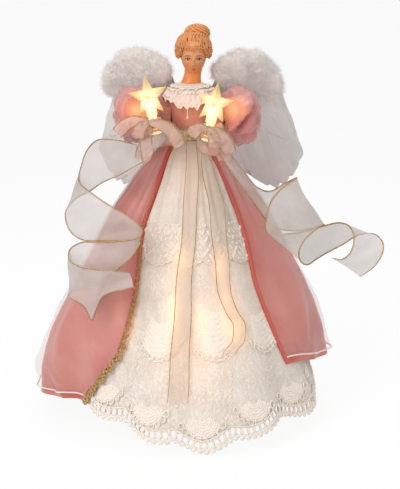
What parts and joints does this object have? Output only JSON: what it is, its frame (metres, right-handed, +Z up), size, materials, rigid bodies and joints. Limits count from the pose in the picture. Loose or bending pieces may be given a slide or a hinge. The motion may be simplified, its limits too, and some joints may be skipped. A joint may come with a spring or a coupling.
{
  "type": "angel tree topper",
  "caption": "Lighted angel doll in a satin and lace gown, with feather wings and star lamps in its hands, on a hollow cone that slips over a tree's top.",
  "frame": {"origin": "on the inner cone's axis, in the plane of its rim, where the tree's top enters", "axes": "+Z up along the cone, -Y towards the doll's front, +X to the viewer's right"},
  "size_m": [0.3588, 0.2991, 0.4052],
  "materials": {
    "white_plastic": "moulded, satin",
    "pink_satin": "satin weave with a soft sheen",
    "painted_skin": "hand-painted, satin",
    "white_lace": "embroidered lace, matt",
    "white_cloth": "plain weave, matt",
    "organza": "sheer, slightly glossy",
    "sheer_ribbon": "sheer with gold wired edges",
    "gold_braid": "metallic thread",
    "feather": "soft, matt",
    "clear_plastic": "clear, polished",
    "warm_glass": "clear, polished",
    "steel_wire": "drawn"
  },
  "bodies": {
    "doll": {"inner_cone": "white_plastic", "torso_form": "white_plastic", "bodice": "pink_satin", "head_bust": "painted_skin", "lace_collar": "white_lace", "underskirt": "white_cloth", "lace_tier_upper": "white_lace", "lace_tier_middle": "white_lace", "lace_hem": "white_lace", "robe": "pink_satin", "robe_overlay": "organza", "waist_sash": "gold_braid", "waist_rosette": "gold_braid", "robe_trim": "gold_braid", "wing_bracket": "white_plastic", "streamer_center": "sheer_ribbon", "streamer_right": "sheer_ribbon", "wide_ribbon_left": "sheer_ribbon", "wide_ribbon_right": "sheer_ribbon", "sleeve_left": "pink_satin", "hand_left": "painted_skin", "arm_wire_left": "steel_wire", "hand_lamp_holder_left": "white_plastic", "wing_left": "feather", "wing_down_left": "feather", "hand_bow_left": "sheer_ribbon", "sleeve_right": "pink_satin", "hand_right": "painted_skin", "arm_wire_right": "steel_wire", "hand_lamp_holder_right": "white_plastic", "wing_right": "feather", "wing_down_right": "feather", "hand_bow_right": "sheer_ribbon", "lamp_holder_1": "white_plastic", "lamp_holder_2": "white_plastic", "lamp_holder_3": "white_plastic", "lamp_holder_4": "white_plastic", "lamp_holder_5": "white_plastic", "lamp_holder_6": "white_plastic", "lamp_holder_7": "white_plastic", "lamp_holder_8": "white_plastic"},
    "bulb_1_body": {"bulb_1": "warm_glass"},
    "bulb_2_body": {"bulb_2": "warm_glass"},
    "bulb_3_body": {"bulb_3": "warm_glass"},
    "bulb_4_body": {"bulb_4": "warm_glass"},
    "bulb_5_body": {"bulb_5": "warm_glass"},
    "bulb_6_body": {"bulb_6": "warm_glass"},
    "bulb_7_body": {"bulb_7": "warm_glass"},
    "bulb_8_body": {"bulb_8": "warm_glass"},
    "hand_bulb_left_body": {"hand_bulb_left": "warm_glass"},
    "hand_bulb_right_body": {"hand_bulb_right": "warm_glass"},
    "star_cover_left_body": {"star_cover_left": "clear_plastic"},
    "star_cover_right_body": {"star_cover_right": "clear_plastic"}
  },
  "joints": [
    {"name": "bulb_1_pull", "type": "slide", "parent": "doll", "child": "bulb_1_body", "axis": [0.4638, -0.8723, 0.1548], "range_m": [0, 0.01]},
    {"name": "bulb_2_pull", "type": "slide", "parent": "doll", "child": "bulb_2_body", "axis": [0.8723, 0.4638, 0.1548], "range_m": [0, 0.01]},
    {"name": "bulb_3_pull", "type": "slide", "parent": "doll", "child": "bulb_3_body", "axis": [-0.4638, 0.8723, 0.1548], "range_m": [0, 0.01]},
    {"name": "bulb_4_pull", "type": "slide", "parent": "doll", "child": "bulb_4_body", "axis": [-0.8723, -0.4638, 0.1548], "range_m": [0, 0.01]},
    {"name": "bulb_5_pull", "type": "slide", "parent": "doll", "child": "bulb_5_body", "axis": [-0.2054, -0.9664, 0.1548], "range_m": [0, 0.01]},
    {"name": "bulb_6_pull", "type": "slide", "parent": "doll", "child": "bulb_6_body", "axis": [0.9664, -0.2054, 0.1548], "range_m": [0, 0.01]},
    {"name": "bulb_7_pull", "type": "slide", "parent": "doll", "child": "bulb_7_body", "axis": [0.2054, 0.9664, 0.1548], "range_m": [0, 0.01]},
    {"name": "bulb_8_pull", "type": "slide", "parent": "doll", "child": "bulb_8_body", "axis": [-0.9664, 0.2054, 0.1548], "range_m": [0, 0.01]},
    {"name": "hand_bulb_left_pull", "type": "slide", "parent": "doll", "child": "hand_bulb_left_body", "axis": [-0.1908, 0, 0.9816], "range_m": [0, 0.012]},
    {"name": "star_cover_left_lift", "type": "slide", "parent": "hand_bulb_left_body", "child": "star_cover_left_body", "axis": [-0.1908, 0, 0.9816], "range_m": [0, 0.034]},
    {"name": "hand_bulb_right_pull", "type": "slide", "parent": "doll", "child": "hand_bulb_right_body", "axis": [0.1908, 0, 0.9816], "range_m": [0, 0.012]},
    {"name": "star_cover_right_lift", "type": "slide", "parent": "hand_bulb_right_body", "child": "star_cover_right_body", "axis": [0.1908, 0, 0.9816], "range_m": [0, 0.034]}
  ]
}
